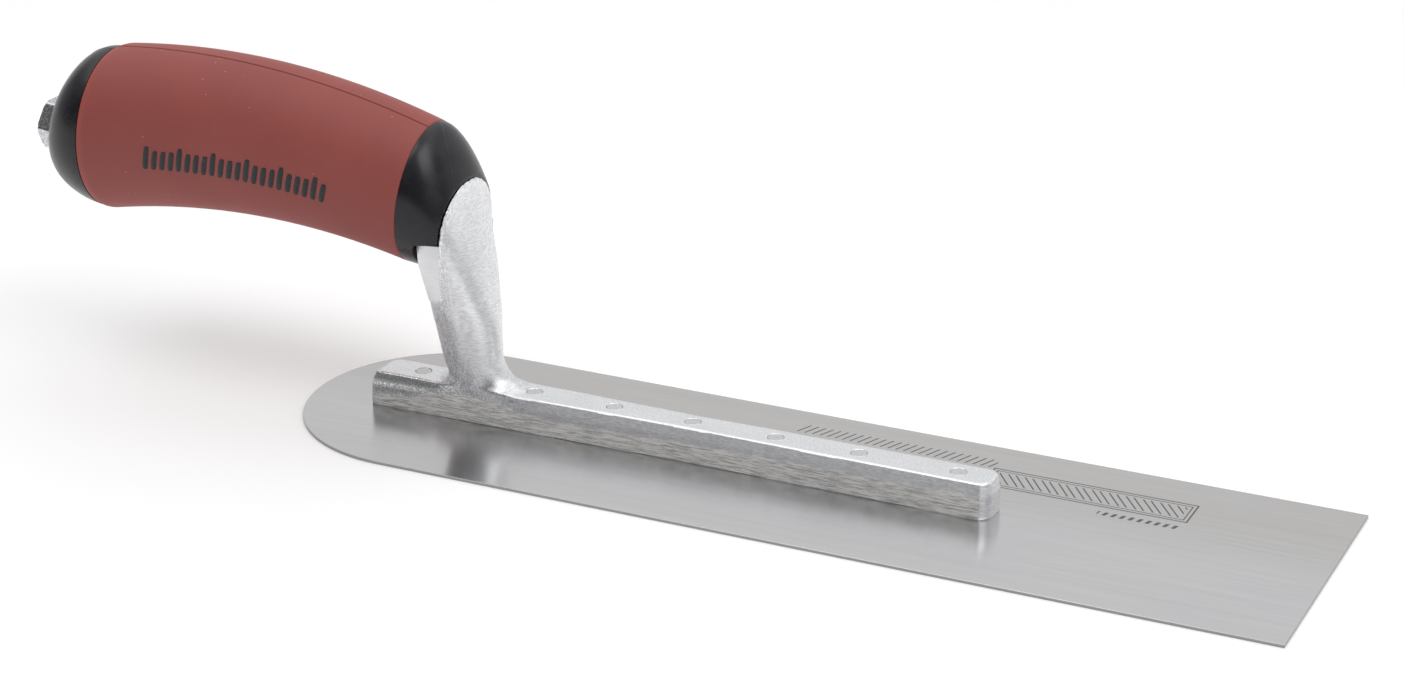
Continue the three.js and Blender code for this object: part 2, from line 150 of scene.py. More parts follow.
# The row of plain bars let into the grip's near side.
MARK_ROW = {"from": -84.6, "to": -32.4, "pitch": 2.48}
MARK_HEIGHT = {"tall": 6.6, "plain": 5.4}
TALL_MARK_EVERY = 4
MARK_WIDTH = 1.6
MARK_SLANT = 0.9
MARK_FOOT = math.radians(106.5)
MARK_DEPTH = 0.7

# Bolt and washer.
HEX_FLATS = 13.0
HEX_HEIGHT = 5.4
HEX_CORNER_LOSS = 0.12
HEX_GAP = 0.03
BORE_RADIUS = 4.15
BOLT_RADIUS = 3.97
BOLT_CHAMFER = 0.5
WASHER_RADIUS = 9.5
WASHER_THICKNESS = 1.2

# Larger than the object, for cutters that reach right through it.
FAR = 60

# Creases sharper than these angles, in degrees, are drawn crisp.
CRISP = {"blade": 25, "casting": 38, "core": 30, "grip": 40, "marks": 50, "bolt": 22, "washer": 35}


# ---- Studio: metres, watts and levels of light ----

# The sky's brightness as (height of the direction, level) pairs.
SKY = [(0.0, 0.78), (0.4, 0.82), (0.65, 0.92), (0.84, 1.5), (0.93, 1.35), (1.0, 0.95)]
# Directions higher or further back than these are white, and the others are as dim as ROOM.
OVERHEAD = (0.42, 0.8)
BACKDROP = (0.1, 0.5)
ROOM = 0.47
# The camera's side of the room is darker still.
DARK_SIDE = (-0.3, -0.88, 0.34)
DARK_SPREAD = (0.45, 0.88)
DARK_LEVEL = 0.28

LIGHTS = {"key": ((-0.5, -0.5, 1.6), 5.2), "fill": ((0.9, -0.4, 1.3), 5.8)}
LIGHT_TARGET = (-0.08, 0, 0.05)
LIGHT_SIZE = 0.9

# The camera. Its lens and its sensor are in millimetres.
TARGET = (-0.02546, 0, 0.02995)
DISTANCE = 0.80981
AZIMUTH = math.radians(24.737)
ELEVATION = math.radians(22.155)
ROLL = math.radians(0.288)
LENS = 82.93
SENSOR = 36

FLOOR_HALF_SIZE = 6000
FLOOR_GLOW = 0.12


# ---- Places read from the frame ----

def box_mm(node):
    """A node's lowest and highest corners."""
    low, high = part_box(node)
    return np.array(low) / MM, np.array(high) / MM


def centre_mm(node):
    low, high = box_mm(node)
    return (low + high) / 2


# The bolt's front face is found even if the bolt slopes this much.
STEEPEST_BOLT = math.radians(12)


def read_bolt():
    """The joint's place and the bolt's direction, from the washer and the bolt's front end."""
    points = np.array([v.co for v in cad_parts["handle_bolt"].data.vertices]) / MM
    end_depth = 2 * BOLT_RADIUS * math.sin(STEEPEST_BOLT)
    tip = points[points[:, 0] > points[:, 0].max() - end_depth]
    end = (tip.min(0) + tip.max(0)) / 2
    direction = end - centre_mm("washer")
    direction /= np.linalg.norm(direction)
    return end - BOLT_REACH * direction, direction


JOINT, AHEAD = read_bolt()
ACROSS = np.array([0.0, 1.0, 0.0])
UPWARD = np.cross(AHEAD, ACROSS)
CAP_FACE = float((centre_mm("washer") - JOINT) @ AHEAD) + WASHER_THICKNESS / 2
RIVETS = [f"rivet_{i}" for i in range(1, 8)]
BAR_LOW, BAR_HIGH = box_mm("mounting")
BAR_TOP = box_mm("rivet_1")[1][2]
BLADE_LOW, BLADE_HIGH = box_mm("blade")


def from_handle(points):
    """Points of the handle's frame, in the row's frame."""
    points = np.asarray(points, float)
    return JOINT + points[..., :1] * AHEAD + points[..., 1:2] * ACROSS + points[..., 2:] * UPWARD


def to_handle(points):
    """Points of the row's frame, in the handle's frame."""
    moved = points - JOINT
    return np.stack([moved @ AHEAD, moved @ ACROSS, moved @ UPWARD], -1)


# ---- Mesh helpers ----

def smooth_profile(pairs, at):
    """A smooth curve through (place, value) pairs, at an array of places."""
    xs, ys = np.array(pairs, float).T
    slopes = np.gradient(ys, xs)
    at = np.clip(at, xs[0], xs[-1])
    i = np.clip(np.searchsorted(xs, at, side="right") - 1, 0, len(xs) - 2)
    span = xs[i + 1] - xs[i]
    t = (at - xs[i]) / span
    bend = t * t * (3 - 2 * t)
    return (
        ys[i] + (ys[i + 1] - ys[i]) * bend
        + slopes[i] * span * t * (1 - t) ** 2
        + slopes[i + 1] * span * t * t * (t - 1)
    )


def make_object(name, points, faces, look, smooth=True):
    """A mesh object from points in millimetres, linked to the scene."""
    mesh = bpy.data.meshes.new(name)
    mesh.from_pydata((np.asarray(points) * MM).tolist(), [], [list(map(int, f)) for f in faces])
    mesh.validate()
    mesh.materials.append(look)
    if smooth:
        mesh.shade_smooth()
    else:
        mesh.shade_flat()
    made = bpy.data.objects.new(name, mesh)
    bpy.context.scene.collection.objects.link(made)
    return made


def smooth_step(t):
    """Runs smoothly from 0 to 1 while t does, and stays there."""
    t = np.clip(t, 0, 1)
    return t * t * (3 - 2 * t)


def bell(distance, half_width):
    """1 at no distance, falling off smoothly on both sides."""
    return np.exp(-(distance / half_width) ** 2)


def paint(made, name, values):
    """Keeps one number a vertex, for the material to read."""
    layer = made.data.attributes.new(name, "FLOAT", "POINT")
    layer.data.foreach_set("value", np.ascontiguousarray(values, dtype=np.float32))


def vertex_data(made):
    """The places (in millimetres) and normals of a mesh's vertices."""
    count = len(made.data.vertices)
    places, normals = np.empty(count * 3), np.empty(count * 3)
    made.data.vertices.foreach_get("co", places)
    made.data.vertex_normals.foreach_get("vector", normals)
    return places.reshape(-1, 3) / MM, normals.reshape(-1, 3)


def merged(parts):
    """Several skins as one list of points and one of faces."""
    points, faces = [], []
    for more, quads in parts:
        faces += [tuple(k + len(points) for k in quad) for quad in quads]
        points += [tuple(point) for point in more]
    return points, faces


def skin(rings, loop=False):
    """Points and faces of a closed skin through rings of equal point count."""
    rings = np.asarray(rings)
    bands, count = rings.shape[:2]
    points = rings.reshape(-1, 3)
    faces = []
    ends = bands if loop else bands - 1
    for band in range(ends):
        low, high = band * count, ((band + 1) % bands) * count
        for i in range(count):
            j = (i + 1) % count
            faces.append((low + i, low + j, high + j, high + i))
    if not loop:
        faces.append(tuple(range(count))[::-1])
        faces.append(tuple(range((bands - 1) * count, bands * count)))
    return points, faces


def solid(name, shape, look):
    """An object from a closed skin, with its faces turned outwards."""
    made = make_object(name, *shape, look)
    work = bmesh.new()
    work.from_mesh(made.data)
    bmesh.ops.recalc_face_normals(work, faces=work.faces)
    if work.calc_volume(signed=True) < 0:
        bmesh.ops.reverse_faces(work, faces=work.faces)
    work.to_mesh(made.data)
    work.free()
    return made


def extruded(outline):
    """A skin along y, right through the object, from an outline of (x, z) points."""
    return skin([[(x, side, z) for x, z in outline] for side in (-FAR, FAR)])


def full_turn(steps):
    return np.linspace(0, 2 * np.pi, steps, endpoint=False)


def turned(profile, steps=64):
    """A turned skin about z from (radius, z) pairs, its ends closed by small discs."""
    angles = full_turn(steps)
    around = np.stack([np.cos(angles), np.sin(angles), 0 * angles], -1)
    return skin([r * around + [0, 0, z] for r, z in profile])


def turned_on_axis(profile):
    """The same about the handle's x axis, in the handle's frame."""
    points, faces = turned(profile)
    return points[:, [2, 0, 1]], faces


def apply_modifiers(made):
    bpy.context.view_layer.update()
    graph = bpy.context.evaluated_depsgraph_get()
    mesh = bpy.data.meshes.new_from_object(made.evaluated_get(graph), depsgraph=graph)
    made.modifiers.clear()
    made.data = mesh
    return made


def combine(made, other, operation):
    """Joins or cuts the object with another one, which is then removed."""
    boolean = made.modifiers.new("combine", "BOOLEAN")
    boolean.operation = operation
    boolean.solver = "EXACT"
    boolean.object = other
    apply_modifiers(made)
    bpy.data.objects.remove(other)


def cut(made, look, *skins):
    """Removes the volume inside the skins from the object."""
    combine(made, solid("cutter", merged(skins), look), "DIFFERENCE")


def sharpen(made, degrees):
    """Smooth shading, with edges sharper than the angle left crisp."""
    made.data.shade_smooth()
    made.data.set_sharp_from_angle(angle=math.radians(degrees))
    return made


def finish_piece(made, slot, *nodes):
    """Rides a piece on the body, and lets it stand for CAD nodes."""
    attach(made, BODY)
    if nodes:
        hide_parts(*nodes)


# ---- Solids from a distance field ----

def grid_block(start, shape):
    """The part of a grid that starts at a corner and has the given shape."""
    return tuple(slice(first, first + count) for first, count in zip(start, shape))


def crossing_places(grid, value, inside, shape):
    """For each cell, the sum of the places where its edges cross the surface, and their count."""
    place = np.zeros(shape + (3,))
    hits = np.zeros(shape)
    for axis in range(3):
        others = [a for a in range(3) if a != axis]
        for corner in np.ndindex(2, 2):
            start = [0, 0, 0]
            start[others[0]], start[others[1]] = corner
            stop = list(start)
            stop[axis] = 1
            low, high = grid_block(start, shape), grid_block(stop, shape)
            crossed = inside[low] != inside[high]
            fall = np.where(crossed, value[low] - value[high], 1)
            share = np.where(crossed, value[low] / fall, 0)
            point = grid[low] + (grid[high] - grid[low]) * share[..., None]
            place += point * crossed[..., None]
            hits += crossed
    return place, hits


def crossing_quads(inside, number, shape):
    """A quad through the four cells around each grid edge that crosses the surface."""
    faces = []
    for axis in range(3):
        b, c = (axis + 1) % 3, (axis + 2) % 3
        low = [slice(1, n) for n in shape]
        high = list(low)
        low[axis] = slice(0, shape[axis])
        high[axis] = slice(1, shape[axis] + 1)
        crossed = inside[tuple(low)] != inside[tuple(high)]
        forward = inside[tuple(low)][crossed]
        where = np.argwhere(crossed)
        where[:, [b, c]] += 1
        corners = []
        for back_b, back_c in ((0, 0), (1, 0), (1, 1), (0, 1)):
            cell = where.copy()
            cell[:, b] -= back_b
            cell[:, c] -= back_c
            corners.append(number[tuple(cell.T)])
        quads = np.stack(corners, -1)
        quads[~forward] = quads[~forward][:, ::-1]
        faces.append(quads)
    return np.concatenate(faces)


def pull_onto(field, points, rounds=4, step=0.02, farthest=0.3, flattest=0.05):
    """Moves points onto the surface along the field's slope, a short way in each round."""
    for _ in range(rounds):
        slope = np.stack([
            field(points + step * side) - field(points - step * side) for side in np.eye(3)
        ], -1) / (2 * step)
        steepness = np.maximum((slope ** 2).sum(-1), flattest)
        points = points - np.clip(field(points) / steepness, -farthest, farthest)[:, None] * slope
    return points


def field_skin(field, xs, ys, zs):
    """A quad skin of the surface where field(points) is zero, with a point in each cell it meets."""
    grid = np.stack(np.meshgrid(xs, ys, zs, indexing="ij"), -1)
    value = field(grid)
    inside = value < 0
    shape = tuple(n - 1 for n in value.shape)
    corners = sum(inside[grid_block(corner, shape)].astype(int) for corner in np.ndindex(2, 2, 2))
    active = (corners > 0) & (corners < 8)
    place, hits = crossing_places(grid, value, inside, shape)
    number = np.full(shape, -1)
    number[active] = np.arange(active.sum())
    points = pull_onto(field, place[active] / hits[active][:, None])
    return points, crossing_quads(inside, number, shape)


def soft_union(a, b, radius):
    """The smaller of two distances, with a fillet between the two shapes."""
    mix = np.clip(0.5 + 0.5 * (b - a) / radius, 0, 1)
    return b * (1 - mix) + a * mix - radius * mix * (1 - mix)


def soft_cut(a, b, radius):
    """The larger of two distances, with a rounded edge."""
    return -soft_union(-a, -b, radius)


# ---- Materials ----

# The grinding marks on the bar and the rivets run across it at this slant.
GRIND_TURN = (0, 0, 0.6)


class NodeTree:
    """Short ways to add the nodes of a material or a world and to join them."""

    def __init__(self, tree, place):
        self.tree = tree
        self.place = self.add("ShaderNodeTexCoord").outputs[place]

    def add(self, kind, inputs=(), **settings):
        """A new node with the given values or links at its inputs, by name or by number."""
        node = self.tree.nodes.new(kind)
        for key, value in settings.items():
            setattr(node, key, value)
        for key, value in dict(inputs).items():
            self.feed(node.inputs[key], value)
        return node

    def feed(self, socket, value):
        """Joins another node's socket to this one, or gives it a plain value."""
        if isinstance(value, bpy.types.NodeSocket):
            self.tree.links.new(value, socket)
        else:
            socket.default_value = value

    def math(self, operation, a, b=0.0):
        return self.add("ShaderNodeMath", {0: a, 1: b}, operation=operation).outputs[0]

    def span(self, value, low, high, to_low=0.0, to_high=1.0):
        """A value moved smoothly from the range low..high to the range to_low..to_high."""
        inputs = {0: value, 1: low, 2: high, 3: to_low, 4: to_high}
        return self.add("ShaderNodeMapRange", inputs, interpolation_type="SMOOTHSTEP").outputs[0]

    def axis(self, which, source=None):
        """One coordinate of a vector, by default of the place."""
        return self.add("ShaderNodeSeparateXYZ", {0: source or self.place}).outputs[which]


class Look(NodeTree):
    """A node material being built. Lengths inside it are in metres in the row's frame."""

    def __init__(self, name, metallic):
        self.material = bpy.data.materials.new(name)
        self.material.use_nodes = True
        super().__init__(self.material.node_tree, "Object")
        self.shader = self.tree.nodes["Principled BSDF"]
        self.set("Metallic", metallic)

    def set(self, name, value):
        self.feed(self.shader.inputs[name], value)

    def noise(self, scale, detail, roughness, turn=(0, 0, 0), shift=(0, 0, 0)):
        """Soft noise with about scale features a metre along each axis, or along x, y and z."""
        where = self.add("ShaderNodeMapping", {
            "Vector": self.place, "Location": shift, "Rotation": turn,
            "Scale": scale if isinstance(scale, tuple) else (scale,) * 3,
        })
        return self.add("ShaderNodeTexNoise", {
            "Vector": where.outputs[0], "Scale": 1, "Detail": detail, "Roughness": roughness,
        }).outputs["Fac"]

    def specks(self, scale, size, level):
        """A level inside sparse round specks and none between them."""
        cells = self.add("ShaderNodeTexVoronoi", {"Vector": self.place, "Scale": scale})
        return self.span(cells.outputs["Distance"], *size, level, 0)

    def mix(self, share, a, b):
        """A colour between a and b."""
        a, b = ((*c, 1) if isinstance(c, tuple) else c for c in (a, b))
        return self.add("ShaderNodeMix", {0: share, 6: a, 7: b}, data_type="RGBA").outputs[2]

    def blend(self, share, a, b):
        """A number between a and b."""
        inputs = {0: share, 2: a, 3: b}
        return self.add("ShaderNodeMix", inputs, data_type="FLOAT").outputs[0]

    def painted(self, name, output="Fac"):
        """What is kept at each vertex of the mesh."""
        return self.add("ShaderNodeAttribute", attribute_name=name).outputs[output]

    def facing(self, which):
        """One coordinate of the surface's normal."""
        return self.axis(which, self.add("ShaderNodeNewGeometry").outputs["Normal"])

    def bump(self, height, strength, distance):
        inputs = {"Height": height, "Strength": strength, "Distance": distance}
        self.set("Normal", self.add("ShaderNodeBump", inputs).outputs[0])

    def constant(self, vector):
        return self.add("ShaderNodeCombineXYZ", enumerate(vector)).outputs[0]

    def brushed(self, direction, amount):
        """Stretches the shine across a grain, along the given direction."""
        self.set("Tangent", direction)
        self.set("Anisotropic", amount)


def blade_steel():
    """Ground spring steel: a lengthwise grain, a far half painted darker and warmer as shade, and an
    etched mark.
    """
    look = Look("blade_steel", 1.0)
    fine = look.noise((30, 5200, 5200), 3, 0.6)
    broad = look.noise((7, 420, 420), 3, 0.5)
    cloud = look.noise((22, 40, 40), 3, 0.5)
    grain = look.math("ADD", look.math("MULTIPLY", fine, 0.7), look.math("MULTIPLY", broad, 0.3))
    share = look.span(grain, 0.3, 0.7)
    near = look.mix(share, (0.565, 0.565, 0.575), (0.615, 0.615, 0.625))
    # Painted shade: the far tone is darker and warmer than the near one, and the blade is blended
    # towards it across y.
    far = look.mix(share, (0.51, 0.502, 0.496), (0.56, 0.552, 0.547))
    tone = look.mix(look.span(look.axis(1), -0.012, 0.02), near, far)
    tone = look.mix(look.span(cloud, 0.5, 0.75, 0, 0.3), tone, (0.56, 0.555, 0.585))
    etched = etched_mark(look)
    tone = look.mix(etched, tone, (0.13, 0.13, 0.135))
    # The blade's upright faces, such as its edges, are darker.
    rim = look.span(look.math("ABSOLUTE", look.facing(2)), 0.5, 0.9, 0.85, 0)
    look.set("Base Color", look.mix(rim, tone, (0.26, 0.255, 0.25)))
    look.set("Roughness", look.blend(etched, look.span(grain, 0.3, 0.7, 0.17, 0.215), 0.45))
    look.bump(grain, 0.12, 0.00002)
    look.brushed(look.constant((0, 1, 0)), 0.75)
    return look.material


def etched_mark(look):
    """A generic etched strip: a hatched double frame with rows of plain ticks, 1 on the lines."""
    x = look.math("MULTIPLY", look.axis(0), 1 / MM)
    y = look.math("MULTIPLY", look.axis(1), 1 / MM)

    def beyond(value, centre, half):
        return look.math("SUBTRACT", look.math("ABSOLUTE", look.math("SUBTRACT", value, centre)), half)

    def box(centre_x, centre_y, half_x, half_y):
        """How far a point lies outside a rectangle."""
        return look.math("MAXIMUM", beyond(x, centre_x, half_x), beyond(y, centre_y, half_y))

    def line(distance, half):
        return look.span(look.math("ABSOLUTE", distance), half * 0.7, half * 1.3, 1, 0)

    def wave(lean, pitch):
        """Runs between 0 and half the pitch, in slanting stripes."""
        slanted = look.math("ADD", x, look.math("MULTIPLY", y, lean))
        return look.math("PINGPONG", slanted, pitch / 2)

    def outlined(lean, pitch, share):
        """The outlines of slanting ticks."""
        return line(look.math("SUBTRACT", wave(lean, pitch), pitch / 2 * share), 0.24)

    def within(distance):
        return look.span(distance, -0.1, 0.1, 1, 0)

    strip = box(*ETCHED_STRIP)
    outer, inner = line(strip, 0.22), line(look.math("ADD", strip, ETCHED_FRAME_GAP), 0.16)
    hatched = within(look.math("ADD", strip, 2.0))
    solid_ticks = look.span(wave(-0.3, 2.2), 0.415, 0.575, 1, 0)
    mark = look.math("MAXIMUM", outer, inner)
    for pattern, area in (
        (outlined(0.7, 4.4, 0.45), hatched),
        (outlined(-0.4, 4.2, 0.5), within(box(*ETCHED_ROW))),
        (solid_ticks, within(box(*ETCHED_SMALL_ROW))),
    ):
        mark = look.math("MAXIMUM", mark, look.math("MULTIPLY", pattern, area))
    on_top = look.span(look.axis(2), 0.0005, 0.0006)
    return look.math("MULTIPLY", mark, on_top)


def casting_grains(look):
    """The grains that casting and finishing leave, by name."""
    return {
        "pits": look.noise(2300, 3, 0.7),
        "spots": look.noise(800, 4, 0.6),
        "cloud": look.noise(90, 3, 0.5),
        "streaks": look.noise((2600, 900, 500), 3, 0.65),
        "scratch": look.noise((190, 3000, 3400), 3, 0.75),
        "sparks": look.noise((330, 3000, 3600), 3, 0.7, shift=(3, 1, 2)),
        "rings": look.noise((650, 650, 4400), 3, 0.7),
        "hatch": look.noise((3600, 900, 300), 3, 0.65, turn=GRIND_TURN),
        "mill": look.noise((160, 160, 3600), 2, 0.5),
    }


def casting_tone(look, areas, grains):
    """The cast skin's colour, with the colours of the finished areas laid over it."""
    tone = look.mix(look.span(grains["pits"], 0.35, 0.65), (0.5, 0.505, 0.52), (0.96, 0.965, 0.98))
    tone = look.mix(look.span(grains["streaks"], 0.4, 0.65, 0, 0.5), tone, (0.42, 0.43, 0.45))
    tone = look.mix(look.span(grains["spots"], 0.56, 0.68, 0, 0.5), tone, (0.42, 0.425, 0.44))
    for area, share, dark, light in (
        ("brushed", look.span(grains["rings"], 0.36, 0.64), (0.68, 0.685, 0.7), (0.92, 0.925, 0.94)),
        ("ground", look.span(grains["hatch"], 0.35, 0.65), (0.72, 0.725, 0.74), (0.88, 0.885, 0.9)),
        ("sanded", look.span(grains["scratch"], 0.38, 0.6), (0.5, 0.492, 0.475), (0.98, 0.965, 0.935)),
        ("milled", grains["mill"], (0.85, 0.855, 0.87), (0.97, 0.975, 0.99)),
    ):
        tone = look.mix(areas[area], tone, look.mix(share, dark, light))
    return look.mix(look.span(grains["cloud"], 0.4, 0.7, 0, 0.15), tone, (0.6, 0.61, 0.63))


def casting_glint(look, areas, grains):
    """Painted glints: specks along the bar's rear edges, the sanded line, the pocket's rim and the
    sanding marks, where the base colour is turned white.
    """
    glint_edges = look.math("MULTIPLY", areas["glint_edges"], look.span(grains["pits"], 0.5, 0.58))
    scratch_glints = look.math("MULTIPLY", areas["sanded"], look.span(grains["sparks"], 0.58, 0.66, 0, 0.6))
    return look.math("MAXIMUM", glint_edges, scratch_glints)


def casting_roughness(look, areas, grains, glint):
    rough = look.blend(areas["brushed"], look.span(grains["pits"], 0.3, 0.7, 0.38, 0.52), 0.44)
    rough = look.blend(areas["ground"], rough, 0.5)
    rough = look.blend(areas["sanded"], rough, look.span(grains["scratch"], 0.4, 0.7, 0.66, 0.5))
    rough = look.blend(glint, rough, 0.2)
    return look.blend(areas["milled"], rough, 0.45)


def casting_height(look, areas, grains):
    """The grains' relief, each with its own depth."""
    height = look.math("MULTIPLY", grains["pits"], 2.0)
    for area, grain, depth in (
        ("brushed", "rings", 0.5), ("ground", "hatch", 0.7), ("sanded", "scratch", 1.3),
        ("milled", "mill", 0.6),
    ):
        height = look.blend(areas[area], height, look.math("MULTIPLY", grains[grain], depth))
    return height


def cast_aluminium():
    """A cast skin with satin, ground, sanded and milled areas, painted glints and painted shade, as
    kept at the mesh's vertices.
    """
    look = Look("cast_aluminium", 1.0)
    areas = {name: look.painted(name) for name in ("sanded", "milled", "brushed", "ground", "glint_edges")}
    grains = casting_grains(look)
    glint = casting_glint(look, areas, grains)
    # Painted highlight: the glint specks' base colour goes white.
    look.set("Base Color", look.mix(glint, casting_tone(look, areas, grains), (1, 1, 1)))
    look.set("Roughness", casting_roughness(look, areas, grains, glint))
    look.set("Metallic", look.blend(areas["sanded"], 1.0, 0.66))
    look.bump(casting_height(look, areas, grains), 0.55, 0.00006)
    look.brushed(look.painted("spread", "Vector"), 0.55)
    return look.material


def rivet_metal():
    look = Look("rivet_metal", 1.0)
    speck = look.noise(2600, 3, 0.6)
    hatch = look.noise((3600, 700, 300), 3, 0.6, turn=GRIND_TURN)
    share = look.span(look.math("ADD", speck, hatch), 0.75, 1.25)
    look.set("Base Color", look.mix(share, (0.52, 0.525, 0.535), (0.66, 0.665, 0.675)))
    look.set("Roughness", look.span(speck, 0.3, 0.7, 0.42, 0.52))
    look.bump(hatch, 0.3, 0.00005)
    return look.material


def black_plastic():
    """Satin moulded plastic with faint smears and a little dust."""
    look = Look("black_plastic", 0.0)
    fine = look.noise(2600, 3, 0.6)
    smear = look.noise(120, 4, 0.6)
    tone = look.mix(look.span(smear, 0.4, 0.7), (0.0105, 0.0108, 0.0132), (0.0165, 0.0168, 0.0205))
    look.set("Base Color", look.mix(look.specks(300, (0.03, 0.05), 0.25), tone, (0.3, 0.3, 0.3)))
    look.set("Roughness", look.span(smear, 0.35, 0.7, 0.22, 0.33))
    look.set("Specular IOR Level", 0.36)
    look.bump(fine, 0.2, 0.00003)
    return look.material


def red_rubber():
    """Matte rubber with a fine tooth, a few pale specks and a richer rear edge."""
    look = Look("red_rubber", 0.0)
    fine = look.noise(2400, 3, 0.6)
    cloud = look.noise(40, 3, 0.5)
    tone = look.mix(look.span(cloud, 0.3, 0.7), (0.262, 0.058, 0.05), (0.282, 0.064, 0.055))
    tone = look.mix(look.span(fine, 0.3, 0.75, 0, 0.18), tone, (0.38, 0.12, 0.105))
    tone = look.mix(look.specks(230, (0.035, 0.05), 0.5), tone, (0.6, 0.4, 0.36))
    tone = look.mix(look.math("MULTIPLY", look.painted("seam"), 0.6), tone, (0.4, 0.06, 0.045))
    look.set("Base Color", tone)
    look.set("Roughness", look.span(fine, 0.3, 0.7, 0.55, 0.68))
    look.set("Specular IOR Level", 0.35)
    look.set("Sheen Weight", 0.12)
    look.set("Sheen Roughness", 0.4)
    look.set("Sheen Tint", (0.95, 0.6, 0.55, 1))
    look.bump(fine, 0.22, 0.00005)
    return look.material


def plated_steel(name, dark, light, roughness):
    """Zinc plating, mottled between two tones and two roughness values."""
    look = Look(name, 1.0)
    mottle = look.noise(1600, 4, 0.65)
    look.set("Base Color", look.mix(look.span(mottle, 0.35, 0.65), dark, light))
    look.set("Roughness", look.span(mottle, 0.3, 0.7, *roughness))
    look.bump(mottle, 0.25, 0.00005)
    return look.material


def bolt_plating():
    return plated_steel("plated_steel", (0.4, 0.405, 0.415), (0.74, 0.75, 0.77), (0.2, 0.3))


def washer_plating():
    return plated_steel("dull_plating", (0.5, 0.5, 0.505), (0.68, 0.68, 0.69), (0.36, 0.44))


# ---- Blade and rivets ----

def blade_outline(inset, steps=120):
    """The blade's plan outline, moved inwards: a half round at the rear, square at the front."""
    half = (BLADE_HIGH[1] - BLADE_LOW[1]) / 2
    angles = np.linspace(np.pi / 2, 3 * np.pi / 2, steps)
    centre = BLADE_LOW[0] + half
    radius = half - inset
    arc = np.stack([centre + radius * np.cos(angles), radius * np.sin(angles)], -1)
    front = BLADE_HIGH[0] - inset
    return np.vstack([arc, [[front, -radius], [front, radius]]])


def placed_at(node, shape):
    """A turned shape moved to the place of a rivet."""
    points, faces = shape
    return points + [centre_mm(node)[0], 0, 0], faces


def make_blade(look):
    top = BLADE_HIGH[2]
    rings = []
    for inset, z in (
        (BLADE_EDGE, 0.0), (0.0, BLADE_EDGE), (0.0, top - BLADE_EDGE), (BLADE_EDGE, top),
    ):
        plan = blade_outline(inset)
        rings.append(np.column_stack([plan, np.full(len(plan), z)]))
    blade = solid("blade_sheet", skin(rings), look)
    head, hole = RIVET_HEAD["radius"] + RIVET_GAP, RIVET_RADIUS + RIVET_GAP
    countersink = turned([(head, -1), (head, 0.02), (hole, 0.62), (hole, 2)], 48)
    cut(blade, look, *[placed_at(node, countersink) for node in RIVETS])
    return sharpen(blade, CRISP["blade"])


def make_rivet(node, look):
    """One rivet: a head countersunk in the blade, and a slightly dished end in the bar's top."""
    top = BAR_TOP
    head, body = RIVET_HEAD["radius"], RIVET_RADIUS
    profile = [
        (0.05, 0.03), (2.3, 0.02), (2.68, 0.04), (head, 0.12), (body, RIVET_HEAD["depth"]),
        (body, top - 0.22), (2.04, top - 0.1), (1.9, top - 0.03), (1.5, top - 0.05),
        (0.8, top - 0.09), (0.05, top - 0.1),
    ]
    return solid(node + "_body", placed_at(node, turned(profile)), look)


# ---- Casting ----

def bar_half_width(x):
    """The bar is narrowest at its middle and swells towards both ends."""
    rear, middle, front = (BAR_HALF_WIDTH[k] for k in ("rear", "middle", "front"))
    behind = x < BAR_MIDDLE_X
    end = np.where(behind, rear, front)
    end_x = np.where(behind, BAR_LOW[0], BAR_HIGH[0])
    way = np.clip((x - BAR_MIDDLE_X) / (end_x - BAR_MIDDLE_X), 0, 1)
    return middle + (end - middle) * np.sin(way * np.pi / 2)


def rounded_pair(a, b, radius):
    """Distance outside two faces that meet at a rounded outer edge."""
    p, q = a + radius, b + radius
    return np.hypot(np.maximum(p, 0), np.maximum(q, 0)) + np.minimum(np.maximum(p, q), 0) - radius


def sanded_top(x):
    """Where the sanded side gives way to the cast skin, a slightly ragged line."""
    ragged = 0.22 * np.sin(x * 0.61) + 0.16 * np.sin(x * 1.37 + 1) + 0.1 * np.sin(x * 3.1)
    return smooth_profile(SANDED_TOP, x) + ragged


def bar_field(p):
    """Distance outside the bar: sanded sides, a cast skin above them and a softened top edge."""
    x, y, z = np.moveaxis(p, -1, 0)
    middle = (BAR_LOW[0] + BAR_HIGH[0]) / 2
    ends = np.abs(x - middle) - (BAR_HIGH[0] - BAR_LOW[0]) / 2
    side = np.abs(y) - bar_half_width(x)
    rear_corner = np.where(y < 0, BAR_CORNER["rear_near"], BAR_CORNER["rear_far"])
    corner = np.where(x < middle, rear_corner, BAR_CORNER["tip"])
    proud = SANDED_TIP["depth"] * smooth_step((x - SANDED_TIP["from"]) / SANDED_TIP["over"])
    plan = soft_cut(rounded_pair(ends, side - proud, corner), side, SANDED_TIP["edge"])
    shoulder = smooth_step((REAR_SHOULDER["from"] - x) / REAR_SHOULDER["over"])
    reach = BAR_EDGE["across"] + REAR_SHOULDER["across"] * shoulder
    across = (plan + reach) / reach
    down = (z - BAR_TOP + BAR_EDGE["down"]) / BAR_EDGE["down"]
    edge = np.hypot(np.maximum(across, 0), np.maximum(down, 0)) - 1
    body = np.maximum(np.maximum(plan, z - BAR_TOP), edge * reach)
    cast = smooth_step((z - sanded_top(x)) / 0.5) * smooth_step((BAR_TOP - 0.4 - z) / 0.5)
    return np.maximum(body + CAST_SKIN_SET_BACK * cast, BLADE_HIGH[2] - z)


